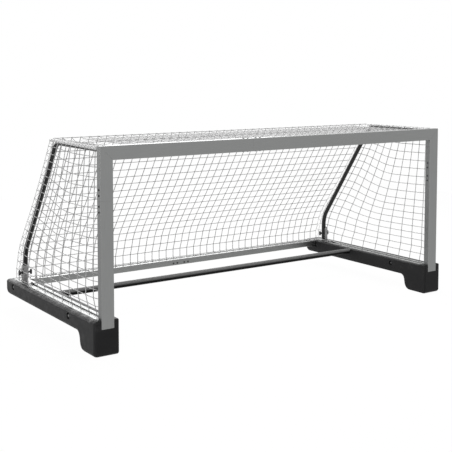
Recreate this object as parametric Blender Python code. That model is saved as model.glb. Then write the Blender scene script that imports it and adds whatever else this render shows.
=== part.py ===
"""Floating water polo goal: alloy profile frame on two moulded floats, with bent net arms and a net.

Units are metres and +Z is up. X runs along the crossbar, +Y from the goal mouth to the back of the net.
The origin is at the middle of the floor under the goal, level with the soles of the two float feet.
"""
import math

import bmesh
import bpy
from mathutils import Vector

# Goal mouth and the frame profile, one extrusion used for crossbar, posts, rails and rear bar
MOUTH_WIDTH = 2.500
MOUTH_HEIGHT = 0.900
PROFILE_WIDTH = 0.080
PROFILE_DEPTH = 0.042
PROFILE_WALL = 0.003
PROFILE_CORNER = 0.0025
TRACK_MOUTH = 0.030
TRACK_LIP = 0.003
TRACK_DEPTH = 0.009
SLEEVE_LENGTH = 0.170
SLEEVE_WALL = 0.004
FIT_GAP = 0.0003
WELD_GAP = 0.0005
OVERCUT = 0.020

# Heights over the soles of the floats
RAIL_BOTTOM = 0.156
RAIL_TOP = RAIL_BOTTOM + PROFILE_DEPTH
CROSSBAR_BOTTOM = RAIL_TOP + MOUTH_HEIGHT
CROSSBAR_MIDDLE = CROSSBAR_BOTTOM + PROFILE_WIDTH / 2
CROSSBAR_TOP = CROSSBAR_BOTTOM + PROFILE_WIDTH
POST_SPLICE_HEIGHT = 0.873

# Places across the goal
SIDE_MIDDLE = (MOUTH_WIDTH + PROFILE_WIDTH) / 2
SIDE_INNER = MOUTH_WIDTH / 2
SIDE_OUTER = SIDE_INNER + PROFILE_WIDTH
CROSSBAR_SPLICE_X = -0.290
REAR_BAR_SPLICE_X = -0.070

# Floats, with distances back from the front face of the posts
FLOAT_LENGTH = 1.326
FRONT = -FLOAT_LENGTH / 2
FLOAT_INNER = SIDE_INNER - 0.030
FLOAT_OUTER = SIDE_OUTER + 0.043
FLOAT_BEAM_BOTTOM = 0.103
FLOAT_HORN_TOP = 0.206
FLOAT_HORN_LENGTH = 0.055
FLOAT_FOOT_LENGTH = 0.195
FLOAT_SHOULDER = 0.020
FLOAT_RIM = 0.008
FLOAT_BOLT_BACKS = (0.345, 1.200)
FLOAT_BOLT_HEIGHT = 0.165
HEAD_POCKET_RADIUS = 0.020
HEAD_POCKET_DEPTH = 0.010
NUT_POCKET_RADIUS = 0.016
NUT_POCKET_DEPTH = 0.014
OPEN_TOP = FLOAT_HORN_TOP + 0.044
HALF_ROUND = 0.999

# Bolts, all of one diameter
BOLT_RADIUS = 0.004
BOLT_CLEARANCE = 0.0003
BOLT_TAIL = 0.009
BOLT_HEAD = ((0.0, 0.0130), (0.0020, 0.0130), (0.0026, 0.0090), (0.0060, 0.0085), (0.0085, 0.0050))
NUT_RADIUS = 0.0075
NUT_HEIGHT = 0.0065

# Rails and bars
RAIL_END_BACK = 1.2915
CAP_THICKNESS = 0.003
CAP_PLUG = 0.025
REAR_BAR_BACK = 1.210 + PROFILE_WIDTH / 2
CROSS_TUBE_BACK = 0.810
CROSS_TUBE_HEIGHT = 0.178
CROSS_TUBE_RADIUS = 0.020
TUBE_WALL = 0.002
SPIGOT_LENGTH = 0.060
SPIGOT_GAP = 0.0007
SPIGOT_CHAMFER = 0.003
SADDLE_GAP = 0.0008

# Net arms: a tube that leaves the crossbar level, slopes down and ends upright in its clamp
ARM_RADIUS = 0.0165
ARM_HEIGHT = 1.154
ARM_SLOPE = 0.69
ARM_SLOPE_BACK = 0.754
ARM_SLOPE_HEIGHT = 1.019
ARM_UPRIGHT_BACK = 1.187
ARM_UPPER_BEND = 0.090
ARM_LOWER_BEND = 0.200
ARM_FOOT_HEIGHT = 0.208
ARM_TIP_FLANGE = 0.006
ARM_TIP_PLUG = 0.030
ARM_TIP_CHAMFER = 0.002

# Arm clamps: an angle on a base flange, with a flange outboard of the tube and a web in front of it,
# one through bolt and two wing knobs. The web stops the foot of the tube when the arm has leant back
# as far as it goes.
CLAMP_HEIGHT = 0.258
PLATE_THICKNESS = 0.003
PLATE_TOP = 0.308
PLATE_CORNER = 0.018
FLANGE_INNER = SIDE_MIDDLE + ARM_RADIUS + 0.0005
FLANGE_REAR = ARM_UPRIGHT_BACK + 0.020
WEB_CLEARANCE = 0.005
WEB_REAR = ARM_UPRIGHT_BACK - ARM_RADIUS - WEB_CLEARANCE
WEB_INNER = SIDE_MIDDLE - 0.006
FOOT_FRONT = WEB_REAR - 0.070
FOOT_INNER = SIDE_INNER + 0.003
FOOT_TAB_INNER = SIDE_INNER - 0.080
FOOT_TAB_FRONT = REAR_BAR_BACK - PROFILE_WIDTH / 2 + 0.004
FOOT_TAB_REAR = REAR_BAR_BACK + 0.018
KNOB_LENGTH = 0.027
KNOB_SIDES = 20
# Stations along a wing knob: distance from its face, stem radius and extra radius of the two lobes
KNOB_STATIONS = ((0.0, 0.0095, 0.0), (0.0025, 0.0095, 0.0), (0.0035, 0.0070, 0.0),
                 (0.013, 0.0065, 0.0), (0.016, 0.0072, 0.0080), (0.019, 0.0080, 0.0108),
                 (0.0245, 0.0080, 0.0108), (KNOB_LENGTH, 0.0068, 0.0090))

# Net: square mesh drawn here with wide gaps, one flat sheet for each panel
NET_CORD = 0.004
NET_SEAM = 0.0006
NET_KNEE_SLACK = 0.012
NET_HALF_WIDTH = SIDE_MIDDLE + ARM_RADIUS + 0.008
NET_SHOULDER_BACK = 0.700
NET_SHOULDER_HEIGHT = 1.177
NET_FRONT_HEIGHT = 1.1782
NET_KNEE_BACK = 1.265
NET_KNEE_HEIGHT = 0.323
NET_HEM_BACK = 1.288
NET_HEM_HEIGHT = RAIL_TOP + WELD_GAP
NET_COLUMNS = 17
NET_SIDE_COLUMNS = 6
NET_SIDE_ROWS = 6
NET_BACK_ROWS = 6
NET_TOP_ROWS = 4

FINISHES = {
    "alloy": ((0.46, 0.47, 0.47), 0.38, 0.85),
    "black_tube": ((0.018, 0.018, 0.018), 0.35, 0.30),
    "float_skin": ((0.035, 0.035, 0.036), 0.50, 0.0),
    "knob_plastic": ((0.012, 0.012, 0.012), 0.35, 0.0),
    "steel": ((0.55, 0.55, 0.56), 0.30, 1.0),
    "net_cord": ((0.72, 0.72, 0.70), 0.80, 0.0),
}


def back(distance):
    """World Y of a point at a distance behind the front face of the posts."""
    return FRONT + distance


def finish_for(node, finish):
    colour, roughness, metallic = FINISHES[finish]
    material = bpy.data.materials.new(node + "_" + finish)
    material.use_nodes = True
    shader = material.node_tree.nodes["Principled BSDF"]
    shader.inputs["Base Color"].default_value = (*colour, 1.0)
    shader.inputs["Roughness"].default_value = roughness
    shader.inputs["Metallic"].default_value = metallic
    material.diffuse_color = (*colour, 1.0)
    return material


def new_object(name, form, finish=None, origin=(0, 0, 0)):
    """Turns a closed bmesh form into an object whose origin is at the given point."""
    bmesh.ops.recalc_face_normals(form, faces=form.faces)
    bmesh.ops.translate(form, verts=form.verts, vec=-Vector(origin))
    mesh = bpy.data.meshes.new(name)
    form.to_mesh(mesh)
    form.free()
    mesh.shade_smooth()
    mesh.set_sharp_from_angle(angle=math.radians(35))
    piece = bpy.data.objects.new(name, mesh)
    piece.location = origin
    bpy.context.scene.collection.objects.link(piece)
    if finish:
        mesh.materials.append(finish_for(name, finish))
    return piece


def add_wall(form, rings):
    """Joins rings of equal length with quads and returns the vertices ring by ring."""
    loops = [[form.verts.new(point) for point in ring] for ring in rings]
    for near, far in zip(loops, loops[1:]):
        for i in range(len(near)):
            j = (i + 1) % len(near)
            form.faces.new((near[i], near[j], far[j], far[i]))
    return loops


def loft(rings, bore_rings=None):
    """Closed body over a row of rings, with an optional open bore that has rings of its own."""
    form = bmesh.new()
    skin = add_wall(form, rings)
    if bore_rings is None:
        form.faces.new(skin[0])
        form.faces.new(skin[-1])
        return form
    bore = add_wall(form, bore_rings)
    for outer, inner in ((skin[0], bore[0]), (skin[-1], bore[-1])):
        rim = []
        for loop in (outer, inner):
            rim += [form.edges.get((loop[i - 1], loop[i])) for i in range(len(loop))]
        bmesh.ops.triangle_fill(form, use_beauty=True, use_dissolve=False, edges=rim)
    return form


def round_corner(before, corner, after, radius, segments):
    """Arc of (point, direction) pairs that rounds one corner of a path in a plane."""
    into = (corner - before).normalized()
    out = (after - corner).normalized()
    turn = math.atan2(into.x * out.y - into.y * out.x, into.dot(out))
    start = corner - into * radius * math.tan(abs(turn) / 2)
    side = math.copysign(1.0, turn)
    centre = start + Vector((-into.y, into.x)) * radius * side
    arc = []
    for step in range(segments + 1):
        angle = turn * step / segments
        direction = Vector((into.x * math.cos(angle) - into.y * math.sin(angle),
                            into.x * math.sin(angle) + into.y * math.cos(angle)))
        arc.append((centre + Vector((direction.y, -direction.x)) * radius * side, direction))
    return arc


def outline(corners, inset=0.0, segments=4):
    """Closed anticlockwise outline with rounded corners (a, b, radius), drawn inwards by the inset."""
    points = []
    moved = []
    for i, (a, b, _) in enumerate(corners):
        here = Vector((a, b))
        into = (here - Vector(corners[i - 1][:2])).normalized()
        out = (Vector(corners[(i + 1) % len(corners)][:2]) - here).normalized()
        inwards = Vector((-into.y, into.x)) + Vector((-out.y, out.x))
        moved.append(here + inwards * inset / (1 + into.dot(out)))
    for i, (_, _, radius) in enumerate(corners):
        before, here, after = moved[i - 1], moved[i], moved[(i + 1) % len(moved)]
        if radius == 0:
            points.append(here)
            continue
        into, out = here - before, after - here
        convex = into.x * out.y - into.y * out.x > 0
        rounded = max(radius - inset, 0.0005) if convex else radius + inset
        points += [point for point, _ in round_corner(before, here, after, rounded, segments)]
    return points


def circle(x, centre_back, height, radius, sides):
    """Ring round an axis that runs along X."""
    turns = [math.tau * i / sides for i in range(sides)]
    return [(x, back(centre_back) + radius * math.cos(t), height + radius * math.sin(t)) for t in turns]


def turned(stations, centre_back, height, sides, bore=None):
    """Piece turned about an axis along X from (x, radius) stations, with an optional bore radius."""
    rings = [circle(x, centre_back, height, radius, sides) for x, radius in stations]
    if bore is None:
        return loft(rings)
    bores = [circle(stations[i][0], centre_back, height, bore, sides) for i in (0, -1)]
    return loft(rings, bores)


def slab(corners, x_from, x_to):
    """Plate with a side outline of (back, height, radius) corners between two X planes."""
    points = outline(corners)
    return loft([[(x, back(p.x), p.y) for p in points] for x in (x_from, x_to)])


def combine(piece, form, name, operation):
    """Boolean with a closed form that stays in the file as a hidden guide."""
    guide = new_object(piece.name + "_" + name, form)
    guide.hide_render = True
    guide.display_type = 'WIRE'
    modifier = piece.modifiers.new(name, 'BOOLEAN')
    modifier.operation = operation
    modifier.solver = 'EXACT'
    modifier.object = guide


def cut(piece, form, name):
    combine(piece, form, name, 'DIFFERENCE')


def join(piece, form, name):
    combine(piece, form, name, 'UNION')


def bolt_hole(x_from, x_to, centre_back, height):
    """Cutter for a bolt hole along X, with a little overcut at both ends."""
    reach = math.copysign(OVERCUT, x_to - x_from)
    radius = BOLT_RADIUS + BOLT_CLEARANCE
    return turned([(x_from - reach, radius), (x_to + reach, radius)], centre_back, height, 12)


def sided(side):
    return "left" if side < 0 else "right"


# Frame profile: across is measured from its middle, depth from the plain face to the net track's face
def profile_skin():
    half = PROFILE_WIDTH / 2
    mouth = TRACK_MOUTH / 2
    lip = PROFILE_DEPTH - TRACK_LIP
    floor = PROFILE_DEPTH - TRACK_DEPTH
    recess_half = mouth + TRACK_LIP
    track = [(mouth, PROFILE_DEPTH, 0), (mouth, lip, 0), (recess_half, lip, 0), (recess_half, floor, 0)]
    mirrored = [(-across, depth, 0) for across, depth, _ in reversed(track)]
    corner = PROFILE_CORNER
    return outline([(-half, 0, corner), (half, 0, corner), (half, PROFILE_DEPTH, corner),
                    *track, *mirrored, (-half, PROFILE_DEPTH, corner)], segments=2)


def profile_hollow():
    half = PROFILE_WIDTH / 2 - PROFILE_WALL
    web = TRACK_MOUTH / 2 + TRACK_LIP + PROFILE_WALL
    shelf = PROFILE_DEPTH - TRACK_DEPTH - PROFILE_WALL
    high = PROFILE_DEPTH - PROFILE_WALL
    return outline([(-half, PROFILE_WALL, 0), (half, PROFILE_WALL, 0), (half, high, 0), (web, high, 0),
                    (web, shelf, 0), (-web, shelf, 0), (-web, high, 0), (-half, high, 0)])


def sleeve_outline(wall=0.0):
    """Rectangle that slides in the profile under its track, drawn in by a wall thickness."""
    half = PROFILE_WIDTH / 2 - PROFILE_WALL - FIT_GAP
    low = PROFILE_WALL + FIT_GAP
    high = PROFILE_DEPTH - TRACK_DEPTH - PROFILE_WALL - FIT_GAP
    return outline([(-half, low, 0), (half, low, 0), (half, high, 0), (-half, high, 0)], inset=wall)


def along_crossbar(across, depth, along):
    return (along, back(depth), CROSSBAR_MIDDLE + across)


def along_post(side):
    return lambda across, depth, along: (side * (SIDE_MIDDLE + across), back(depth), along)


def along_rail(side):
    return lambda across, depth, along: (side * (SIDE_MIDDLE + across), back(along), RAIL_BOTTOM + depth)


def along_rear_bar(across, depth, along):
    return (along, back(REAR_BAR_BACK) + across, RAIL_BOTTOM + depth)


def bar(name, place, ends, skin=None, hollow=None):
    """Length of profile or sleeve; each end is a number, or a function of the across position for a mitre."""
    def ring(points, end):
        return [place(p.x, p.y, end(p.x) if callable(end) else end) for p in points]
    skin = skin or profile_skin()
    hollow = hollow or profile_hollow()
    new_object(name, loft([ring(skin, end) for end in ends], [ring(hollow, end) for end in ends]), "alloy")


def sleeve(name, place, middle):
    ends = (middle - SLEEVE_LENGTH / 2, middle + SLEEVE_LENGTH / 2)
    bar(name, place, ends, skin=sleeve_outline(), hollow=sleeve_outline(SLEEVE_WALL))


def build_mouth_frame():
    """Crossbar and posts, mitred and welded at the corners and sleeved together at four-bolt splices."""
    def mitre(side, gap):
        return lambda across: side * (SIDE_MIDDLE + across - gap)
    split = FIT_GAP / 2
    bar("crossbar_left", along_crossbar, (mitre(-1, WELD_GAP), CROSSBAR_SPLICE_X - split))
    bar("crossbar_right", along_crossbar, (CROSSBAR_SPLICE_X + split, mitre(1, WELD_GAP)))
    sleeve("crossbar_splice", along_crossbar, CROSSBAR_SPLICE_X)
    for side in (-1, 1):
        place = along_post(side)
        upper_ends = (POST_SPLICE_HEIGHT + split, lambda across: CROSSBAR_MIDDLE + across)
        bar("post_upper_" + sided(side), place, upper_ends)
        bar("post_lower_" + sided(side), place, (RAIL_BOTTOM, POST_SPLICE_HEIGHT - split))
        sleeve("post_splice_" + sided(side), place, POST_SPLICE_HEIGHT)


def build_base_frame():
    """Side rails in the floats, with plugged rear ends, and the rear bar and cross tube between them."""
    for side in (-1, 1):
        place = along_rail(side)
        name = "side_rail_" + sided(side)
        bar(name, place, (PROFILE_DEPTH + FIT_GAP, RAIL_END_BACK))
        rail = bpy.data.objects[name]
        for number, bolt_back in enumerate(FLOAT_BOLT_BACKS):
            hole = bolt_hole(side * SIDE_INNER, side * SIDE_OUTER, bolt_back, FLOAT_BOLT_HEIGHT)
            cut(rail, hole, "bolt_hole_%d" % number)
        build_rail_cap(side)
        build_spigot(side)
    split = FIT_GAP / 2
    reach = SIDE_INNER - FIT_GAP
    bar("rear_bar_left", along_rear_bar, (-reach, REAR_BAR_SPLICE_X - split))
    bar("rear_bar_right", along_rear_bar, (REAR_BAR_SPLICE_X + split, reach))
    sleeve("rear_bar_splice", along_rear_bar, REAR_BAR_SPLICE_X)
    tube_ends = [(-reach, CROSS_TUBE_RADIUS), (reach, CROSS_TUBE_RADIUS)]
    tube = turned(tube_ends, CROSS_TUBE_BACK, CROSS_TUBE_HEIGHT, 24, CROSS_TUBE_RADIUS - TUBE_WALL)
    new_object("cross_tube", tube, "black_tube")


def build_rail_cap(side):
    """Moulded plug: a plate of the profile's outer shape and a block that fills the hollow behind it."""
    place = along_rail(side)
    plate_front = RAIL_END_BACK + FIT_GAP
    half = PROFILE_WIDTH / 2
    corner = PROFILE_CORNER
    plate = outline([(-half, 0, corner), (half, 0, corner), (half, PROFILE_DEPTH, corner),
                     (-half, PROFILE_DEPTH, corner)], segments=2)
    block = sleeve_outline()
    form = bmesh.new()
    skin_ends = (plate_front, plate_front + CAP_THICKNESS)
    plug_ends = (plate_front, plate_front - CAP_PLUG)
    skin = add_wall(form, [[place(p.x, p.y, along) for p in plate] for along in skin_ends])
    plug = add_wall(form, [[place(p.x, p.y, along) for p in block] for along in plug_ends])
    form.faces.new(skin[1])
    form.faces.new(plug[1])
    rim = []
    for loop in (skin[0], plug[0]):
        rim += [form.edges.get((loop[i - 1], loop[i])) for i in range(len(loop))]
    bmesh.ops.triangle_fill(form, use_beauty=True, use_dissolve=False, edges=rim)
    new_object("rail_end_cap_" + sided(side), form, "knob_plastic")


def build_spigot(side):
    """Short stub welded to the rail, inside the end of the cross tube."""
    radius = CROSS_TUBE_RADIUS - TUBE_WALL - SPIGOT_GAP
    tip = SIDE_INNER - SPIGOT_LENGTH
    stations = [(side * (SIDE_INNER - FIT_GAP), radius), (side * (tip + SPIGOT_CHAMFER), radius),
                (side * tip, radius - SPIGOT_CHAMFER)]
    spigot = turned(stations, CROSS_TUBE_BACK, CROSS_TUBE_HEIGHT, 16)
    new_object("cross_tube_spigot_" + sided(side), spigot, "alloy")


def float_skin(side):
    """Moulded float: its side outline is drawn inwards step by step to round the edges of both flanks."""
    corners = [(0, 0, 0.020), (FLOAT_FOOT_LENGTH, 0, 0.050),
               (FLOAT_FOOT_LENGTH + 0.020, FLOAT_BEAM_BOTTOM, 0.035),
               (FLOAT_LENGTH, FLOAT_BEAM_BOTTOM, 0.040), (FLOAT_LENGTH, RAIL_TOP, 0.012),
               (FLOAT_HORN_LENGTH + 0.025, RAIL_TOP, 0.020), (FLOAT_HORN_LENGTH, FLOAT_HORN_TOP, 0.020),
               (0, FLOAT_HORN_TOP, 0.010)]
    stations = []
    for turn in (math.pi / 2, math.pi / 3, math.pi / 6, 0):
        x = FLOAT_INNER + FLOAT_RIM * (1 - math.sin(turn))
        stations.append((x, FLOAT_RIM * (1 - math.cos(turn))))
    for turn in (0, math.pi / 6, math.pi / 3, math.pi / 2):
        x = FLOAT_OUTER - FLOAT_SHOULDER * (1 - math.sin(turn))
        stations.append((x, FLOAT_SHOULDER * (1 - math.cos(turn))))
    return loft([[(side * x, back(p.x), p.y) for p in outline(corners, inset)] for x, inset in stations])


def recess(side, centre_back, height, radius, x_from, x_to):
    """Cutter for a U-shaped recess that is open at the top, round a centre at a height."""
    low = height - radius
    front, rear = centre_back - radius, centre_back + radius
    bend = radius * HALF_ROUND
    corners = [(front, OPEN_TOP, 0), (front, low, bend), (rear, low, bend), (rear, OPEN_TOP, 0)]
    return slab(corners, side * x_from, side * x_to)


def trough(side, front, rear, x_from, x_to):
    """Cutter for a square-edged trough that takes a bar of the frame from above."""
    low = RAIL_BOTTOM - FIT_GAP
    corners = [(front, low, 0), (rear, low, 0), (rear, OPEN_TOP, 0), (front, OPEN_TOP, 0)]
    return slab(corners, side * x_from, side * x_to)


def build_float(side):
    """Float with the channel for post and rail, the notches for bar and tube, bolt holes and pockets."""
    piece = new_object("float_" + sided(side), float_skin(side), "float_skin")
    channel_rear = RAIL_END_BACK + CAP_THICKNESS + 3 * FIT_GAP
    cut(piece, trough(side, -OVERCUT, channel_rear, SIDE_INNER - FIT_GAP, SIDE_OUTER + FIT_GAP), "channel")
    half_bar = PROFILE_WIDTH / 2 + FIT_GAP
    rim_ends = (FLOAT_INNER - OVERCUT, SIDE_INNER + OVERCUT)
    cut(piece, trough(side, REAR_BAR_BACK - half_bar, REAR_BAR_BACK + half_bar, *rim_ends), "bar_notch")
    saddle = recess(side, CROSS_TUBE_BACK, CROSS_TUBE_HEIGHT, CROSS_TUBE_RADIUS + SADDLE_GAP, *rim_ends)
    cut(piece, saddle, "tube_saddle")
    outer_pocket = (FLOAT_OUTER - HEAD_POCKET_DEPTH, FLOAT_OUTER + OVERCUT)
    inner_pocket = (FLOAT_INNER - OVERCUT, FLOAT_INNER + NUT_POCKET_DEPTH)
    for bolt_back, place in zip(FLOAT_BOLT_BACKS, ("front", "rear")):
        head_pocket = [(side * x, HEAD_POCKET_RADIUS) for x in outer_pocket]
        cut(piece, turned(head_pocket, bolt_back, FLOAT_BOLT_HEIGHT, 24), "head_pocket_" + place)
        nut_pocket = [(side * x, NUT_POCKET_RADIUS) for x in inner_pocket]
        cut(piece, turned(nut_pocket, bolt_back, FLOAT_BOLT_HEIGHT, 20), "nut_pocket_" + place)
        hole = bolt_hole(side * FLOAT_INNER, side * FLOAT_OUTER, bolt_back, FLOAT_BOLT_HEIGHT)
        cut(piece, hole, "bolt_hole_" + place)
        build_float_bolt(side, bolt_back, place)


def build_float_bolt(side, bolt_back, place):
    """Flanged pan-headed bolt through float and rail, with a hexagon nut in the inner pocket."""
    seat = FLOAT_OUTER - HEAD_POCKET_DEPTH + FIT_GAP
    nut_seat = FLOAT_INNER + NUT_POCKET_DEPTH - FIT_GAP
    stations = [(nut_seat - BOLT_TAIL, BOLT_RADIUS), (seat, BOLT_RADIUS)]
    stations += [(seat + along, radius) for along, radius in BOLT_HEAD]
    bolt = turned([(side * x, radius) for x, radius in stations], bolt_back, FLOAT_BOLT_HEIGHT, 12)
    new_object("float_bolt_%s_%s" % (place, sided(side)), bolt, "steel")
    faces = (side * (nut_seat - NUT_HEIGHT), side * nut_seat)
    rings = [circle(x, bolt_back, FLOAT_BOLT_HEIGHT, NUT_RADIUS, 6) for x in faces]
    bores = [circle(x, bolt_back, FLOAT_BOLT_HEIGHT, BOLT_RADIUS + BOLT_CLEARANCE, 12) for x in faces]
    new_object("float_nut_%s_%s" % (place, sided(side)), loft(rings, bores), "steel")


def arm_path():
    """Points and directions (back, height) along the middle of a net arm."""
    bend_back = ARM_SLOPE_BACK + (ARM_SLOPE_HEIGHT - ARM_HEIGHT) * ARM_SLOPE
    knee_height = ARM_SLOPE_HEIGHT - (ARM_UPRIGHT_BACK - ARM_SLOPE_BACK) / ARM_SLOPE
    start = Vector((PROFILE_DEPTH + ARM_TIP_FLANGE + 2 * FIT_GAP, ARM_HEIGHT))
    bend = Vector((bend_back, ARM_HEIGHT))
    knee = Vector((ARM_UPRIGHT_BACK, knee_height))
    foot = Vector((ARM_UPRIGHT_BACK, ARM_FOOT_HEIGHT))
    return [(start, Vector((1, 0))), *round_corner(start, bend, knee, ARM_UPPER_BEND, 6),
            *round_corner(bend, knee, foot, ARM_LOWER_BEND, 5), (foot, Vector((0, -1)))]


def arm_ring(side, point, direction, radius, sides=16):
    across = Vector((-direction.y, direction.x))
    ring = []
    for i in range(sides):
        turn = math.tau * i / sides
        spot = point + across * radius * math.sin(turn)
        ring.append((side * SIDE_MIDDLE + radius * math.cos(turn), back(spot.x), spot.y))
    return ring


def build_net_arm(side):
    """Bent tube that turns on its clamp bolt, with a plugged front end that rests against the frame."""
    name = "net_arm_" + sided(side)
    path = arm_path()
    skin = [arm_ring(side, point, direction, ARM_RADIUS) for point, direction in path]
    bore = [arm_ring(side, point, direction, ARM_RADIUS - TUBE_WALL) for point, direction in path]
    pivot = (side * SIDE_MIDDLE, back(ARM_UPRIGHT_BACK), CLAMP_HEIGHT)
    arm = new_object(name, loft(skin, bore), "black_tube", origin=pivot)
    middle = side * SIDE_MIDDLE
    cut(arm, bolt_hole(middle - ARM_RADIUS, middle + ARM_RADIUS, ARM_UPRIGHT_BACK, CLAMP_HEIGHT), "bolt_hole")
    face = PROFILE_DEPTH + FIT_GAP
    flange_end = face + ARM_TIP_FLANGE
    plug_radius = ARM_RADIUS - TUBE_WALL - FIT_GAP
    stations = [(face, ARM_RADIUS - ARM_TIP_CHAMFER), (face + ARM_TIP_CHAMFER, ARM_RADIUS),
                (flange_end, ARM_RADIUS), (flange_end, plug_radius), (flange_end + ARM_TIP_PLUG, plug_radius)]
    level = Vector((1, 0))
    rings = [arm_ring(side, Vector((along, ARM_HEIGHT)), level, radius) for along, radius in stations]
    new_object("arm_tip_" + sided(side), loft(rings), "knob_plastic", origin=pivot)


def bracket_foot(side, low, top):
    """Base flange: a strip on the rail with a tab that laps over the end of the rear bar."""
    outer = FLANGE_INNER + PLATE_THICKNESS
    corners = [(FOOT_INNER, FOOT_FRONT), (outer, FOOT_FRONT), (outer, FOOT_TAB_REAR),
               (FOOT_TAB_INNER, FOOT_TAB_REAR), (FOOT_TAB_INNER, FOOT_TAB_FRONT),
               (FOOT_INNER, FOOT_TAB_FRONT)]
    return loft([[(side * x, back(along), z) for x, along in corners] for z in (low, top)])


def build_clamp(side):
    """Bracket, clamp bolt and wing knobs at the foot of a net arm."""
    low = RAIL_TOP + FIT_GAP
    outer = FLANGE_INNER + PLATE_THICKNESS
    front = WEB_REAR - PLATE_THICKNESS
    flange = slab([(front, low, 0), (FLANGE_REAR, low, 0), (FLANGE_REAR, PLATE_TOP, PLATE_CORNER),
                   (front, PLATE_TOP, 0)], side * FLANGE_INNER, side * outer)
    bracket = new_object("arm_bracket_" + sided(side), flange, "steel")
    web = outline([(WEB_INNER, low, 0), (outer, low, 0), (outer, PLATE_TOP, 0),
                   (WEB_INNER, PLATE_TOP, PLATE_CORNER / 2)])
    join(bracket, loft([[(side * p.x, back(along), p.y) for p in web] for along in (front, WEB_REAR)]), "web")
    join(bracket, bracket_foot(side, low, low + PLATE_THICKNESS), "foot")
    cut(bracket, bolt_hole(side * FLANGE_INNER, side * outer, ARM_UPRIGHT_BACK, CLAMP_HEIGHT), "bolt_hole")
    outer_face = outer + FIT_GAP
    inner_face = SIDE_MIDDLE - ARM_RADIUS - FIT_GAP
    build_knob("wing_knob_outer_" + sided(side), side * outer_face, side)
    build_knob("wing_knob_inner_" + sided(side), side * inner_face, -side)
    reach = KNOB_LENGTH - BOLT_RADIUS
    ends = [(side * (inner_face - reach), BOLT_RADIUS), (side * (outer_face + reach), BOLT_RADIUS)]
    new_object("clamp_bolt_" + sided(side), turned(ends, ARM_UPRIGHT_BACK, CLAMP_HEIGHT, 12), "steel")


def build_knob(name, face, direction):
    """Wing knob: round collar and stem that swell into two lobes, bored for the clamp bolt."""
    rings = []
    for along, stem, lobe in KNOB_STATIONS:
        x = face + direction * along
        ring = []
        for i in range(KNOB_SIDES):
            turn = math.tau * i / KNOB_SIDES
            radius = stem + lobe * math.sin(turn) ** 4
            y = back(ARM_UPRIGHT_BACK) + radius * math.cos(turn)
            ring.append((x, y, CLAMP_HEIGHT + radius * math.sin(turn)))
        rings.append(ring)
    ends = (face, face + direction * KNOB_LENGTH)
    bore = BOLT_RADIUS + BOLT_CLEARANCE
    bores = [circle(x, ARM_UPRIGHT_BACK, CLAMP_HEIGHT, bore, 12) for x in ends]
    new_object(name, loft(rings, bores), "knob_plastic", origin=(face, back(ARM_UPRIGHT_BACK), CLAMP_HEIGHT))


def cord_edges(count, length):
    """Both edges of each cord across a panel, as fractions of its length."""
    share = NET_CORD / length
    edges = [0.0, share]
    for i in range(1, count):
        edges += [i / count - share / 2, i / count + share / 2]
    return edges + [1.0 - share, 1.0]


def build_net_panel(name, place, thickness, columns, width, rows, height):
    """Flat net: a grid of cords with square gaps, given a thickness in one direction."""
    form = bmesh.new()
    across = cord_edges(columns, width)
    down = cord_edges(rows, height)
    grid = [[form.verts.new(place(s, t)) for t in down] for s in across]
    for i in range(len(across) - 1):
        for j in range(len(down) - 1):
            if i % 2 == 0 or j % 2 == 0:
                form.faces.new((grid[i][j], grid[i + 1][j], grid[i + 1][j + 1], grid[i][j + 1]))
    drawn = bmesh.ops.extrude_face_region(form, geom=form.faces[:], use_keep_orig=True)
    moved = [item for item in drawn["geom"] if isinstance(item, bmesh.types.BMVert)]
    bmesh.ops.translate(form, verts=moved, vec=thickness)
    new_object(name, form, "net_cord")


def net_rear_edge(height):
    """Distance back of the net's rear edge at a height: hem, knee and shoulder joined by straight lines."""
    if height < NET_KNEE_HEIGHT:
        share = (height - NET_HEM_HEIGHT) / (NET_KNEE_HEIGHT - NET_HEM_HEIGHT)
        return NET_HEM_BACK + (NET_KNEE_BACK - NET_HEM_BACK) * share
    share = (height - NET_KNEE_HEIGHT) / (NET_SHOULDER_HEIGHT - NET_KNEE_HEIGHT)
    return NET_KNEE_BACK + (NET_SHOULDER_BACK - NET_KNEE_BACK) * share


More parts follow.
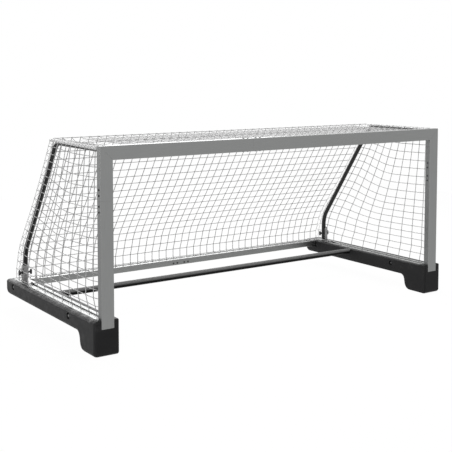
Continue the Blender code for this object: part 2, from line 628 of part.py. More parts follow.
def build_net():
    """Five panels laced along their edges, tied to the frame all round and carried by the arms."""
    half = NET_HALF_WIDTH - NET_SEAM
    half_cord = NET_CORD / 2
    front = PROFILE_DEPTH + FIT_GAP
    width = 2 * half

    def flat(near, far):
        """Panel across the goal between two (back, height) lines."""
        def place(s, t):
            distance = near[0] + (far[0] - near[0]) * t
            return (-half + width * s, back(distance), near[1] + (far[1] - near[1]) * t)
        return place

    slope = Vector((NET_KNEE_BACK - NET_SHOULDER_BACK, NET_KNEE_HEIGHT - NET_SHOULDER_HEIGHT)).normalized()
    outwards = Vector((0, -slope.y, slope.x))
    shoulder = (NET_SHOULDER_BACK - half_cord, NET_SHOULDER_HEIGHT)
    knee = (NET_KNEE_BACK - half_cord, NET_KNEE_HEIGHT)
    hem = (NET_HEM_BACK - half_cord, NET_HEM_HEIGHT)
    top = flat((front, NET_FRONT_HEIGHT - half_cord), (shoulder[0] - NET_CORD, shoulder[1] - half_cord))
    build_net_panel("net_top", top, Vector((0, 0, NET_CORD)),
                    NET_COLUMNS, width, NET_TOP_ROWS, NET_SHOULDER_BACK)
    build_net_panel("net_back_upper", flat(shoulder, knee), outwards * NET_CORD,
                    NET_COLUMNS, width, NET_BACK_ROWS, NET_SHOULDER_HEIGHT - NET_KNEE_HEIGHT)
    below_knee = (knee[0], knee[1] - NET_KNEE_SLACK)
    build_net_panel("net_back_lower", flat(below_knee, hem), Vector((0, NET_CORD, 0)),
                    NET_COLUMNS, width, 1, NET_KNEE_HEIGHT - NET_HEM_HEIGHT)
    for side in (-1, 1):
        def upright(s, t, x=side * NET_HALF_WIDTH):
            height = NET_HEM_HEIGHT + (NET_SHOULDER_HEIGHT - NET_HEM_HEIGHT) * t
            return (x, back(front + (net_rear_edge(height) - front) * s), height)
        build_net_panel("net_side_" + sided(side), upright, Vector((side * NET_CORD, 0, 0)),
                        NET_SIDE_COLUMNS, NET_HEM_BACK, NET_SIDE_ROWS, NET_SHOULDER_HEIGHT - NET_HEM_HEIGHT)


for old in list(bpy.data.objects):
    bpy.data.objects.remove(old, do_unlink=True)
build_mouth_frame()
build_base_frame()
for float_side in (-1, 1):
    build_float(float_side)
    build_net_arm(float_side)
    build_clamp(float_side)
build_net()
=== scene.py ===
import math

import bmesh
import bpy
import numpy as np
from mathutils import Matrix, Vector


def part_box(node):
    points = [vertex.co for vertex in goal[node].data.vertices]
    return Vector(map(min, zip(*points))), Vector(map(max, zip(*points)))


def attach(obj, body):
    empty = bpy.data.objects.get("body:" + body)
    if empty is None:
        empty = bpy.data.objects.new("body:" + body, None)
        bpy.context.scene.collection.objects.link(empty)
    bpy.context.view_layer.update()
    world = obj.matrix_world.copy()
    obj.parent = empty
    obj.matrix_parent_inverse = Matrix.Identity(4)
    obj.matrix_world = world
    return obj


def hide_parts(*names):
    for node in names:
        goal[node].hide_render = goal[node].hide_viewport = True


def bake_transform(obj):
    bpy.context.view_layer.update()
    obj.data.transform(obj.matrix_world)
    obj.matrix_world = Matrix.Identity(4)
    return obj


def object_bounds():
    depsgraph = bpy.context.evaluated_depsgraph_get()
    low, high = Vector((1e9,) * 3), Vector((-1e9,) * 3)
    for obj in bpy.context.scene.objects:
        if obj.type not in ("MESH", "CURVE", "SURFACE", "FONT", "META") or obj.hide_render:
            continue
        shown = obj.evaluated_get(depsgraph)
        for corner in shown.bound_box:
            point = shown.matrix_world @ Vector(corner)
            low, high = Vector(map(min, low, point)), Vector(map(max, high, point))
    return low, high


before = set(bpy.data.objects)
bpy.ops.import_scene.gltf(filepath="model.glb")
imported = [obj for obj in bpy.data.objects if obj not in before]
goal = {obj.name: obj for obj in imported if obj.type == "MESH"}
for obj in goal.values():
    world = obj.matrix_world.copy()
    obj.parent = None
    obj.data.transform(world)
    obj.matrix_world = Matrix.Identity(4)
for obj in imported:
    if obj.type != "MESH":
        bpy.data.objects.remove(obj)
cad_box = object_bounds()


# The set: a white floor that keeps a trace of the goal's shadow, a white surround, two broad softboxes
# overhead, one behind the goal and two weaker ones on the camera's side. The camera is at eye height, in
# front of the goal mouth and to its left.
FLOOR_SIZE = 11
FLOOR_LEVEL = -0.001
FLOOR_PAINT = (0.50, 0.50, 0.50, 1)
FLOOR_GLOW = 1.03
SHADOW_TRACE = 0.05
SKY_FILL = 0.08


def seen_itself(nodes, links):
    """1 where the camera, metal or glass sees the white itself, and 0 where the white only gives light."""
    path = nodes.new("ShaderNodeLightPath")
    seen = path.outputs["Is Camera Ray"]
    for ray in ("Is Glossy Ray", "Is Transmission Ray"):
        either = nodes.new("ShaderNodeMath")
        either.operation = "MAXIMUM"
        links.new(seen, either.inputs[0])
        links.new(path.outputs[ray], either.inputs[1])
        seen = either.outputs[0]
    return seen


floor_white = bpy.data.materials.new("floor_white")
floor_white.use_nodes = True
floor_nodes, floor_links = floor_white.node_tree.nodes, floor_white.node_tree.links
floor_nodes.clear()
matt = floor_nodes.new("ShaderNodeBsdfDiffuse")
matt.inputs["Color"].default_value = FLOOR_PAINT
glow = floor_nodes.new("ShaderNodeEmission")
glow.inputs["Strength"].default_value = FLOOR_GLOW
glow_share = floor_nodes.new("ShaderNodeMath")
glow_share.operation = "MULTIPLY"
glow_share.inputs[1].default_value = 1 - SHADOW_TRACE
floor_mix = floor_nodes.new("ShaderNodeMixShader")
floor_out = floor_nodes.new("ShaderNodeOutputMaterial")
floor_links.new(seen_itself(floor_nodes, floor_links), glow_share.inputs[0])
floor_links.new(glow_share.outputs[0], floor_mix.inputs[0])
floor_links.new(matt.outputs[0], floor_mix.inputs[1])
floor_links.new(glow.outputs[0], floor_mix.inputs[2])
floor_links.new(floor_mix.outputs[0], floor_out.inputs["Surface"])

bpy.ops.object.select_all(action="DESELECT")
bpy.ops.mesh.primitive_plane_add(size=FLOOR_SIZE, location=(0, 0, FLOOR_LEVEL))
floor = bpy.context.object
floor.name = "studio_floor"
floor.data.materials.append(floor_white)

surround = bpy.data.worlds.new("white_surround")
bpy.context.scene.world = surround
surround.use_nodes = True
sky_nodes, sky_links = surround.node_tree.nodes, surround.node_tree.links
sky_nodes.clear()
sky_white = sky_nodes.new("ShaderNodeBackground")
sky_white.inputs["Color"].default_value = (1, 1, 1, 1)
sky_fill = sky_nodes.new("ShaderNodeBackground")
sky_fill.inputs["Color"].default_value = (1, 1, 1, 1)
sky_fill.inputs["Strength"].default_value = SKY_FILL
sky_mix = sky_nodes.new("ShaderNodeMixShader")
sky_out = sky_nodes.new("ShaderNodeOutputWorld")
sky_links.new(seen_itself(sky_nodes, sky_links), sky_mix.inputs[0])
sky_links.new(sky_fill.outputs[0], sky_mix.inputs[1])
sky_links.new(sky_white.outputs[0], sky_mix.inputs[2])
sky_links.new(sky_mix.outputs[0], sky_out.inputs["Surface"])


def softbox(name, place, aim, size, watts):
    box = bpy.data.lights.new(name, "AREA")
    box.shape = "RECTANGLE"
    box.size, box.size_y = size
    box.energy = watts
    lamp = bpy.data.objects.new(name, box)
    lamp.location = place
    lamp.rotation_euler = (Vector(aim) - Vector(place)).to_track_quat("-Z", "Y").to_euler()
    bpy.context.scene.collection.objects.link(lamp)


softbox("overhead_softbox", place=(0.6, 0.8, 4.2), aim=(0, 0, 0.6), size=(5.0, 4.0), watts=150)
softbox("front_overhead_softbox", place=(1.6, -0.8, 4.2), aim=(0, 0, 0.3), size=(6.0, 4.5), watts=70)
softbox("rear_softbox", place=(0.5, 5.5, 2.1), aim=(0, 0, 0.6), size=(7.6, 3.8), watts=290)
softbox("camera_side_softbox", place=(-5.0, -5.0, 3.0), aim=(0, 0, 0.5), size=(2.5, 2.0), watts=160)
softbox("left_softbox", place=(-5.5, -1.0, 1.5), aim=(-1.3, 0, 0.5), size=(2.0, 1.6), watts=40)

lens = bpy.data.cameras.new("studio_camera")
lens.sensor_width = 36.0
lens.lens = 73.26
lens.shift_x = -0.0011
lens.shift_y = -0.1989
lens.clip_end = 200
camera = bpy.data.objects.new("studio_camera", lens)
camera.location = (-3.592, -5.182, 1.6028)
camera.rotation_euler = (math.radians(85.79), 0, math.radians(-34.46))
bpy.context.scene.collection.objects.link(camera)
bpy.context.scene.camera = camera
bpy.context.scene.view_settings.view_transform = "Standard"


# Crossbar and posts: one extruded alloy profile, 80 x 42 mm with a net track in its rear face, mitred and
# welded at the corners, then clear anodised to a satin grey. Fine die lines run along every length, and the
# posts' narrow faces have painted shade: a darker colour than their broad ones.
class Finish:
    """Node material that reads Object coordinates, with short calls for its noise, shades and bump."""

    def __init__(self, name, colour, roughness, metallic=0.0):
        self.material = bpy.data.materials.new(name)
        self.material.use_nodes = True
        self.nodes, self.links = self.material.node_tree.nodes, self.material.node_tree.links
        self.shader = self.nodes["Principled BSDF"]
        self.shader.inputs["Base Color"].default_value = (*colour, 1)
        self.shader.inputs["Roughness"].default_value = roughness
        self.shader.inputs["Metallic"].default_value = metallic
        self.where = self.nodes.new("ShaderNodeTexCoord").outputs["Object"]
        self.surface = None

    def coordinate(self, axis):
        parts = self.nodes.new("ShaderNodeSeparateXYZ")
        self.links.new(self.where, parts.inputs[0])
        return parts.outputs[axis]

    def noise(self, scale, stretch=(1, 1, 1), detail=3.0):
        mapping = self.nodes.new("ShaderNodeMapping")
        mapping.inputs["Scale"].default_value = stretch
        texture = self.nodes.new("ShaderNodeTexNoise")
        texture.inputs["Scale"].default_value = scale
        texture.inputs["Detail"].default_value = detail
        self.links.new(self.where, mapping.inputs["Vector"])
        self.links.new(mapping.outputs[0], texture.inputs["Vector"])
        return texture.outputs["Fac"]

    def between(self, factor, low, high, start=0.3, end=0.7):
        """Number that runs from low to high as the factor runs from start to end."""
        span = self.nodes.new("ShaderNodeMapRange")
        for socket, value in zip(("From Min", "From Max", "To Min", "To Max"), (start, end, low, high)):
            span.inputs[socket].default_value = value
        self.links.new(factor, span.inputs["Value"])
        return span.outputs[0]

    def shades(self, factor, *stops):
        """Colour ramp from (position, (r, g, b)) stops."""
        ramp = self.nodes.new("ShaderNodeValToRGB")
        while len(ramp.color_ramp.elements) < len(stops):
            ramp.color_ramp.elements.new(0.5)
        for element, (position, colour) in zip(ramp.color_ramp.elements, stops):
            element.position, element.color = position, (*colour, 1)
        self.links.new(factor, ramp.inputs["Fac"])
        return ramp.outputs["Color"]

    def set(self, socket, output):
        self.links.new(output, self.shader.inputs[socket])

    def colour(self, scale, dark, light):
        """Colour that drifts between two shades."""
        self.set("Base Color", self.shades(self.noise(scale), (0.3, dark), (0.7, light)))

    def roughness(self, scale, smooth, rough, detail=3.0):
        """Roughness that drifts between two values."""
        self.set("Roughness", self.between(self.noise(scale, detail=detail), smooth, rough))

    def bump(self, factor, depth, strength=1.0):
        """Relief of a depth, on top of any relief that is already there."""
        bump = self.nodes.new("ShaderNodeBump")
        bump.inputs["Distance"].default_value = depth
        bump.inputs["Strength"].default_value = strength
        self.links.new(factor, bump.inputs["Height"])
        if self.surface:
            self.links.new(self.surface, bump.inputs["Normal"])
        self.surface = bump.outputs["Normal"]
        self.links.new(self.surface, self.shader.inputs["Normal"])


ALLOY = (0.235, 0.239, 0.237)
ALLOY_DARK = (0.225, 0.229, 0.227)
ALLOY_LIGHT = (0.245, 0.249, 0.247)
DIE_LINE_STRETCH = 60


def anodised(name, along, across=None, middle=0.0, compare="LESS_THAN", reach=0.0, other=(0, 0, 0, 1)):
    """Satin anodised profile with its die lines along one axis. Where the distance from its middle, measured
    across it, is less or greater than a reach, it may have another colour: painted shade on the posts' narrow
    faces, painted light in the tracks. One middle serves both sides."""
    finish = Finish(name, ALLOY, 0.38, metallic=1.0)
    stretch = [1 if axis == along else DIE_LINE_STRETCH for axis in "XYZ"]
    die_lines = finish.noise(9, stretch, detail=4)
    shade = finish.shades(die_lines, (0.35, ALLOY_DARK), (0.65, ALLOY_LIGHT))
    if across:
        from_middle = finish.coordinate(across)
        steps = (("ABSOLUTE", 0.0), ("SUBTRACT", abs(middle)), ("ABSOLUTE", 0.0), (compare, reach))
        for operation, value in steps:
            step = finish.nodes.new("ShaderNodeMath")
            step.operation = operation
            step.inputs[1].default_value = value
            finish.links.new(from_middle, step.inputs[0])
            from_middle = step.outputs[0]
        blend = finish.nodes.new("ShaderNodeMix")
        blend.data_type = "RGBA"
        finish.links.new(from_middle, blend.inputs[0])
        finish.links.new(shade, blend.inputs[6])
        blend.inputs[7].default_value = other
        shade = blend.outputs[2]
    finish.set("Base Color", shade)
    finish.roughness(2.2, 0.34, 0.42, detail=2)
    finish.bump(die_lines, 0.00006)
    finish.bump(finish.noise(900, detail=1), 0.00004)
    return finish.material


def dress(material, *names):
    """Gives CAD nodes their material."""
    for name in names:
        goal[name].data.materials.clear()
        goal[name].data.materials.append(material)


SIDES = ("left", "right")
# Painted shade on the posts' narrow faces, beyond the broad faces' reach from their middle.
BROAD_FACE_REACH = 0.0395
NARROW_FACE_PAINTED_SHADE = (0.170, 0.173, 0.172, 1)
post_middle = sum(corner.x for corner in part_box("post_upper_right")) / 2
alloy_along_x = anodised("satin_alloy_x", "X")
alloy_along_z = anodised("post_alloy_z", "Z", "X", post_middle, "GREATER_THAN", BROAD_FACE_REACH, NARROW_FACE_PAINTED_SHADE)
dress(alloy_along_x, "crossbar_left", "crossbar_right", "crossbar_splice")
for side in SIDES:
    dress(alloy_along_z, "post_upper_" + side, "post_lower_" + side, "post_splice_" + side)


# Splice bolts: blackened button-head screws with a hexagon socket, two on each side of every joint in the
# profile, screwed through its narrow faces into the sleeve inside it.
BUTTON_RADIUS = 0.0062
BUTTON_HEIGHT = 0.0034
BUTTON_DOME = BUTTON_HEIGHT * 0.72
SOCKET_RADIUS = 0.0029
SOCKET_RIM = 0.0006
SOCKET_DEPTH = 0.0020
SPLICE_SPACINGS = (-0.062, -0.030, 0.030, 0.062)
FRONT = cad_box[0].y
NARROW_FACE_MIDDLE = FRONT + 0.021

blackened = Finish("blackened_steel", (0.030, 0.030, 0.031), 0.40, metallic=0.5)
blackened.colour(160, (0.022, 0.022, 0.023), (0.040, 0.040, 0.041))
blackened.roughness(700, 0.34, 0.48, detail=2)
blackened.bump(blackened.noise(1500), 0.00003)

bpy.ops.object.select_all(action="DESELECT")
bpy.ops.mesh.primitive_cylinder_add(vertices=24, radius=BUTTON_RADIUS, depth=BUTTON_HEIGHT,
                                    location=(0, 0, BUTTON_HEIGHT / 2))
screw = bpy.context.object
screw.name = "splice_screw"
screw.data.transform(screw.matrix_basis)
screw.matrix_basis = Matrix.Identity(4)
bpy.ops.object.mode_set(mode="EDIT")
bpy.ops.mesh.select_mode(type="FACE")
form = bmesh.from_edit_mesh(screw.data)
for face in form.faces:
    face.select = face.normal.z > 0.9
form.select_flush_mode()
bmesh.update_edit_mesh(screw.data)
bpy.ops.mesh.inset(thickness=BUTTON_RADIUS - SOCKET_RADIUS - SOCKET_RIM)
bpy.ops.mesh.inset(thickness=SOCKET_RIM)
form = bmesh.from_edit_mesh(screw.data)
for vertex in (v for face in form.faces if face.select for v in face.verts):
    turn = math.atan2(vertex.co.y, vertex.co.x) % (math.pi / 3) - math.pi / 6
    hexagon = SOCKET_RADIUS * math.cos(math.pi / 6) / math.cos(turn)
    vertex.co.xy = vertex.co.xy.normalized() * hexagon
bmesh.update_edit_mesh(screw.data)
bpy.ops.mesh.extrude_region_move(TRANSFORM_OT_translate={"value": (0, 0, -SOCKET_DEPTH)})
form = bmesh.from_edit_mesh(screw.data)
for edge in form.edges:
    on_top = all(v.co.z > BUTTON_HEIGHT - 1e-6 for v in edge.verts)
    edge.select = on_top and all(v.co.xy.length > BUTTON_RADIUS - 1e-5 for v in edge.verts)
bmesh.update_edit_mesh(screw.data)
bpy.ops.mesh.select_mode(type="EDGE")
bpy.ops.mesh.bevel(offset=BUTTON_DOME, segments=4, profile=0.55, affect="EDGES")
bpy.ops.object.mode_set(mode="OBJECT")
bpy.ops.object.shade_smooth_by_angle(angle=math.radians(40))
screw.data.materials.append(blackened.material)


def copy_to(master, name, place, points_to, body="frame"):
    """Own-mesh copy whose +Z points along a direction, riding on a body."""
    twin = master.copy()
    twin.data = master.data.copy()
    twin.name = name
    bpy.context.scene.collection.objects.link(twin)
    turn = Vector((0, 0, 1)).rotation_difference(Vector(points_to)).to_matrix().to_4x4()
    twin.data.transform(Matrix.Translation(place) @ turn)
    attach(twin, body)


crossbar_low, crossbar_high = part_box("crossbar_left")
crossbar_joint = crossbar_high.x
post_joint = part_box("post_lower_left")[1].z
for number, spacing in enumerate(SPLICE_SPACINGS):
    for face, z, way in (("top", crossbar_high.z, 1), ("under", crossbar_low.z, -1)):
        place = (crossbar_joint + spacing, NARROW_FACE_MIDDLE, z)
        copy_to(screw, "crossbar_screw_%s_%d" % (face, number), place, (0, 0, way))
    for side in SIDES:
        low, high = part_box("post_lower_" + side)
        for face, x, way in (("a", low.x, -1), ("b", high.x, 1)):
            place = (x, NARROW_FACE_MIDDLE, post_joint + spacing)
            copy_to(screw, "post_screw_%s_%s_%d" % (side, face, number), place, (way, 0, 0))


# Side rails and rear bar: track profile laid track side up, the rails in the channels of the floats, with
# moulded plugs pressed into their rear ends. The rear bar is bolted together over a sleeve, as the crossbar
# is, and the tracks have painted light: their insides are coloured lighter than the faces.
TRACK_HALF = 0.0153
IN_TRACK_PAINTED_LIGHT = (0.50, 0.505, 0.50, 1)
REAR_SCREW_RISE = 0.0155
rear_low, rear_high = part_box("rear_bar_left")
rear_middle = (rear_low.y + rear_high.y) / 2
rail_middle = sum(corner.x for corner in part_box("side_rail_right")) / 2
# Painted light: the inside of each track takes a lighter colour than the faces around it.
rail_alloy = anodised("rail_alloy_y", "Y", "X", rail_middle, "LESS_THAN", TRACK_HALF, IN_TRACK_PAINTED_LIGHT)
rear_bar_alloy = anodised("rear_bar_alloy_x", "X", "Y", rear_middle, "LESS_THAN", TRACK_HALF, IN_TRACK_PAINTED_LIGHT)
dress(rail_alloy, "side_rail_left", "side_rail_right")
dress(rear_bar_alloy, "rear_bar_left", "rear_bar_right")
dress(alloy_along_x, "rear_bar_splice")

black_plastic = Finish("black_plastic", (0.016, 0.016, 0.017), 0.34)
black_plastic.colour(40, (0.012, 0.012, 0.013), (0.022, 0.022, 0.023))
black_plastic.roughness(420, 0.28, 0.44)
black_plastic.bump(black_plastic.noise(1600, detail=2), 0.00008)
dress(black_plastic.material, "rail_end_cap_left", "rail_end_cap_right")

for number, spacing in enumerate(SPLICE_SPACINGS):
    for face, y, way in (("front", rear_low.y, -1), ("rear", rear_high.y, 1)):
        place = (rear_high.x + spacing, y, rear_low.z + REAR_SCREW_RISE)
        copy_to(screw, "rear_bar_screw_%s_%d" % (face, number), place, (0, way, 0))


# Cross tube: round alloy tube, pushed over a stub on each rail and coated black. Its upper side has a
# painted highlight: the coat's colour turns lighter above the tube's axis.
COAT_UNDER = (0.006, 0.006, 0.006)
COAT_PAINTED_HIGHLIGHT = (0.18, 0.18, 0.18)
PAINTED_HIGHLIGHT_TURNS = (-0.001, 0.008)
tube_axis = sum(corner.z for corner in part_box("cross_tube")) / 2
tube_coat = Finish("black_tube_coat", (0.055, 0.055, 0.055), 0.45)
tube_coat.shader.inputs["Specular IOR Level"].default_value = 0.05
# Painted highlight: the colour turns from the black coat to light grey over the tube's upper side.
painted_highlight_side = tube_coat.between(tube_coat.coordinate("Z"), 0.0, 1.0,
                               start=tube_axis + PAINTED_HIGHLIGHT_TURNS[0], end=tube_axis + PAINTED_HIGHLIGHT_TURNS[1])
tube_coat.set("Base Color", tube_coat.shades(painted_highlight_side, (0.0, COAT_UNDER), (1.0, COAT_PAINTED_HIGHLIGHT)))
tube_coat.roughness(60, 0.38, 0.52)
tube_coat.bump(tube_coat.noise(650, detail=2), 0.0001, 0.5)
dress(tube_coat.material, "cross_tube")
dress(alloy_along_x, "cross_tube_spigot_left", "cross_tube_spigot_right")


# Floats: rotationally moulded polyethylene, foam filled, near black with a fine pebble from the mould and the
# scuffs of the pool edge. Zinc-plated bolts through the pockets hold them to the rails.
float_skin = Finish("moulded_polyethylene", (0.014, 0.014, 0.0145), 0.5)
float_skin.shader.inputs["Specular IOR Level"].default_value = 0.15
scuffs = float_skin.noise(7, (1, 3, 3), detail=6)
float_skin.set("Base Color", float_skin.shades(scuffs, (0.35, (0.008, 0.008, 0.0085)),
                                               (0.62, (0.013, 0.013, 0.0135)), (0.78, (0.030, 0.030, 0.031))))
float_skin.set("Roughness", float_skin.between(scuffs, 0.42, 0.62))
float_skin.bump(float_skin.noise(520, detail=2), 0.00005, 0.5)
float_skin.bump(float_skin.noise(9, detail=2), 0.0005, 0.2)
zinc = Finish("zinc_plated_steel", (0.12, 0.12, 0.12), 0.42, metallic=0.9)
zinc.colour(90, (0.10, 0.10, 0.103), (0.15, 0.15, 0.148))
zinc.roughness(260, 0.30, 0.46)
zinc.bump(zinc.noise(1100), 0.00005)
for side in SIDES:
    dress(float_skin.material, "float_" + side)
    for end in ("front", "rear"):
        dress(zinc.material, "float_bolt_%s_%s" % (end, side), "float_nut_%s_%s" % (end, side))


# Net arms: bent alloy tube, powder coated black, with a plastic plug in the front end. The foot of each arm
# turns on a stainless bolt in a galvanised angle bracket and is pinched by two moulded wing knobs. Screws
# hold the bracket to the rail and the rear bar.
BRACKET_SCREWS = ((1.278, 1.112), (1.190, 1.241), (1.235, 1.241))
BRACKET_TOP = 0.2013

powder_coat = Finish("black_powder_coat", (0.010, 0.010, 0.010), 0.32)
powder_coat.shader.inputs["Specular IOR Level"].default_value = 0.30
powder_coat.colour(14, (0.008, 0.008, 0.008), (0.013, 0.013, 0.013))
powder_coat.roughness(60, 0.22, 0.32)
powder_coat.bump(powder_coat.noise(650, detail=2), 0.00008, 0.7)
galvanised = Finish("galvanised_steel", (0.26, 0.26, 0.26), 0.40, metallic=1.0)
galvanised.colour(60, (0.23, 0.23, 0.235), (0.29, 0.29, 0.285))
galvanised.roughness(260, 0.34, 0.48)
galvanised.bump(galvanised.noise(1100), 0.00005)
stainless = Finish("stainless_steel", (0.30, 0.30, 0.30), 0.28, metallic=1.0)
stainless.colour(160, (0.24, 0.24, 0.245), (0.36, 0.36, 0.36))
stainless.roughness(700, 0.22, 0.36, detail=2)
stainless.bump(stainless.noise(1500), 0.00003)
for side in SIDES:
    dress(powder_coat.material, "net_arm_" + side)
    dress(black_plastic.material, "arm_tip_" + side, "wing_knob_outer_" + side, "wing_knob_inner_" + side)
    dress(galvanised.material, "arm_bracket_" + side)
    dress(stainless.material, "clamp_bolt_" + side)

for side, way in (("left", -1), ("right", 1)):
    for number, (x, back) in enumerate(BRACKET_SCREWS):
        place = (way * x, FRONT + back, BRACKET_TOP)
        copy_to(screw, "bracket_screw_%s_%d" % (side, number), place, (0, 0, 1))
bpy.data.objects.remove(screw)


# Net cord: twisted polyethylene, grey in the mesh, and thin and white along the edges of the panels and in
# the lacing. Every panel is tied in a square mesh with a knot at each crossing.
CORD_RADIUS = 0.0024
BORDER_RADIUS = 0.0015
LACE_RADIUS = 0.0012
KNOT_RADIUS = 0.0044
BORDER_KNOT_RADIUS = 0.0031
KNOT_LENGTH, KNOT_WIDTH = 1.25, 0.9
KNOT_RINGS = ((-0.62, 0.62), (0.0, 1.0), (0.62, 0.62))
CORD_SAG = 0.0012
STRANDS_ALONG, STRANDS_ROUND = 260, 2


def smooth_line(points, steps):
    """Smooth line through points, as an array."""
    spots = [np.array(p, float) for p in points]
    spots = [2 * spots[0] - spots[1]] + spots + [2 * spots[-1] - spots[-2]]
    line = []
    for k in range(1, len(spots) - 2):
        before, here, there, after = spots[k - 1:k + 3]
        for n in range(steps):
            t = n / steps
            line.append(0.5 * (2 * here + (there - before) * t
                               + (2 * before - 5 * here + 4 * there - after) * t ** 2
                               + (3 * here - before - 3 * there + after) * t ** 3))
    return np.array(line + [spots[-2]])


def even_points(line, count):
    """Points at equal distances along a line, both ends included."""
    lengths = np.concatenate(([0], np.cumsum(np.linalg.norm(np.diff(line, axis=0), axis=1))))
    wanted = np.linspace(0, lengths[-1], count + 1)
    return np.array([np.interp(wanted, lengths, line[:, i]) for i in range(line.shape[1])]).T


def spaced(points, pitch):
    """Evenly spaced points along a line, about a pitch apart."""
    line = np.array([tuple(p) for p in points])
    length = np.linalg.norm(np.diff(line, axis=0), axis=1).sum()
    return even_points(line, round(length / pitch))


def ease(value, start, end):
    """Runs softly from 0 to 1 as a value runs from start to end."""
    t = min(1.0, max(0.0, (value - start) / (end - start)))
    return t * t * (3 - 2 * t)


class Cords:
    """Tubes and knots of one net panel, gathered into one mesh with a UV map that runs along each cord."""

    FACETS = 6

    def __init__(self):
        self.form = bmesh.new()
        self.uv = self.form.loops.layers.uv.new("along_cord")
        self.white = self.form.verts.layers.float.new("white_cord")

    def tube(self, points, radius=CORD_RADIUS, white=0.0):
        """Cord through points, with one radius or one for each point. It is grey where white is 0."""
        points = [Vector(p) for p in points]
        radii = np.broadcast_to(radius, len(points))
        rings, run, side = [], 0.0, None
        for k, point in enumerate(points):
            ahead = (points[min(k + 1, len(points) - 1)] - points[max(k - 1, 0)]).normalized()
            if side is None:
                side = ahead.orthogonal().normalized()
            side = (side - ahead * side.dot(ahead)).normalized()
            other = ahead.cross(side)
            if k:
                run += (point - points[k - 1]).length
            ring = []
            for n in range(self.FACETS):
                turn = math.tau * n / self.FACETS
                outwards = side * math.cos(turn) + other * math.sin(turn)
                vertex = self.form.verts.new(point + outwards * float(radii[k]))
                vertex[self.white] = white
                ring.append(vertex)
            rings.append((ring, run))
        for (near, start), (far, end) in zip(rings, rings[1:]):
            for n in range(self.FACETS):
                m = (n + 1) % self.FACETS
                face = self.form.faces.new((near[n], near[m], far[m], far[n]))
                face.smooth = True
                low, high = n / self.FACETS, (n + 1) / self.FACETS
                corners = ((start, low), (start, high), (end, high), (end, low))
                for loop, uv in zip(face.loops, corners):
                    loop[self.uv].uv = uv
        self.form.faces.new(list(reversed(rings[0][0])))
        self.form.faces.new(rings[-1][0])

    def knot(self, place, one_way, other_way, radius=KNOT_RADIUS):
        """Small lumpy bead, longer across the two cords' first diagonal as a sheet bend is."""
        u, v = Vector(one_way).normalized(), Vector(other_way).normalized()
        normal = u.cross(v).normalized()
        long_way = (u + v).normalized()
        short_way = normal.cross(long_way)
        place = Vector(place)
        rows = []
        for height, wide in KNOT_RINGS:
            row = []
            for n in range(self.FACETS):
                turn = math.tau * (n + 0.5) / self.FACETS
                outwards = long_way * math.cos(turn) * KNOT_LENGTH + short_way * math.sin(turn) * KNOT_WIDTH
                row.append(self.form.verts.new(place + outwards * radius * wide + normal * radius * height))
            rows.append(row)
        for near, far in zip(rows, rows[1:]):
            for n in range(self.FACETS):
                m = (n + 1) % self.FACETS
                self.form.faces.new((near[n], near[m], far[m], far[n])).smooth = True
        self.form.faces.new(list(reversed(rows[0]))).smooth = True
        self.form.faces.new(rows[-1]).smooth = True

    def lace(self, *lines):
        """Lacing cord that goes back and forth over lines with the same number of points."""
        order = [*range(len(lines)), *range(len(lines) - 2, 0, -1)]
        turns = [lines[order[k % len(order)]][k] for k in range(len(lines[0]))]
        self.tube(smooth_line(turns, 3), LACE_RADIUS, white=1.0)

    def grid(self, knots, between, edge_rows=(0,), rows_drawn=None, radius=CORD_RADIUS, row_cord=None):
        """Cords through a grid of knots both ways, with a thin white border cord down both sides and along
        the edge rows. between gives the points from one knot to the next, and row_cord is the radius and
        whiteness of the rows, where they aren't as the columns."""
        columns, rows = len(knots), len(knots[0])
        rows_drawn = rows_drawn or range(rows)
        mesh_cord, border_cord = (radius, 0.0), (BORDER_RADIUS, 1.0)
        mesh_knot = KNOT_RADIUS * radius / CORD_RADIUS
        row_cord = row_cord or mesh_cord
        for i in range(columns):
            line = [knots[i][0]]
            for j in range(1, rows):
                line += between(knots[i][j - 1], knots[i][j])
            self.tube(line, *(border_cord if i in (0, columns - 1) else mesh_cord))
        for j in rows_drawn:
            line = [knots[0][j]]
            for i in range(1, columns):
                line += between(knots[i - 1][j], knots[i][j])
            self.tube(line, *(border_cord if j in edge_rows else row_cord))
        for i in range(columns):
            for j in rows_drawn:
                across = Vector(knots[min(i + 1, columns - 1)][j]) - Vector(knots[max(i - 1, 0)][j])
                down = Vector(knots[i][min(j + 1, rows - 1)]) - Vector(knots[i][max(j - 1, 0)])
                on_border = i in (0, columns - 1) or j in edge_rows
                self.knot(knots[i][j], across, down, BORDER_KNOT_RADIUS if on_border else mesh_knot)

    def finish(self, name, material):
        bmesh.ops.recalc_face_normals(self.form, faces=self.form.faces)
        mesh = bpy.data.meshes.new(name)
        self.form.to_mesh(mesh)
        self.form.free()
        mesh.materials.append(material)
        piece = bpy.data.objects.new(name, mesh)
        bpy.context.scene.collection.objects.link(piece)
        return piece


def straight(a, b):
    """Two steps from knot to knot, with a trace of sag."""
    a, b = Vector(a), Vector(b)
    return [(a + b) / 2 - Vector((0, 0, CORD_SAG)), b]


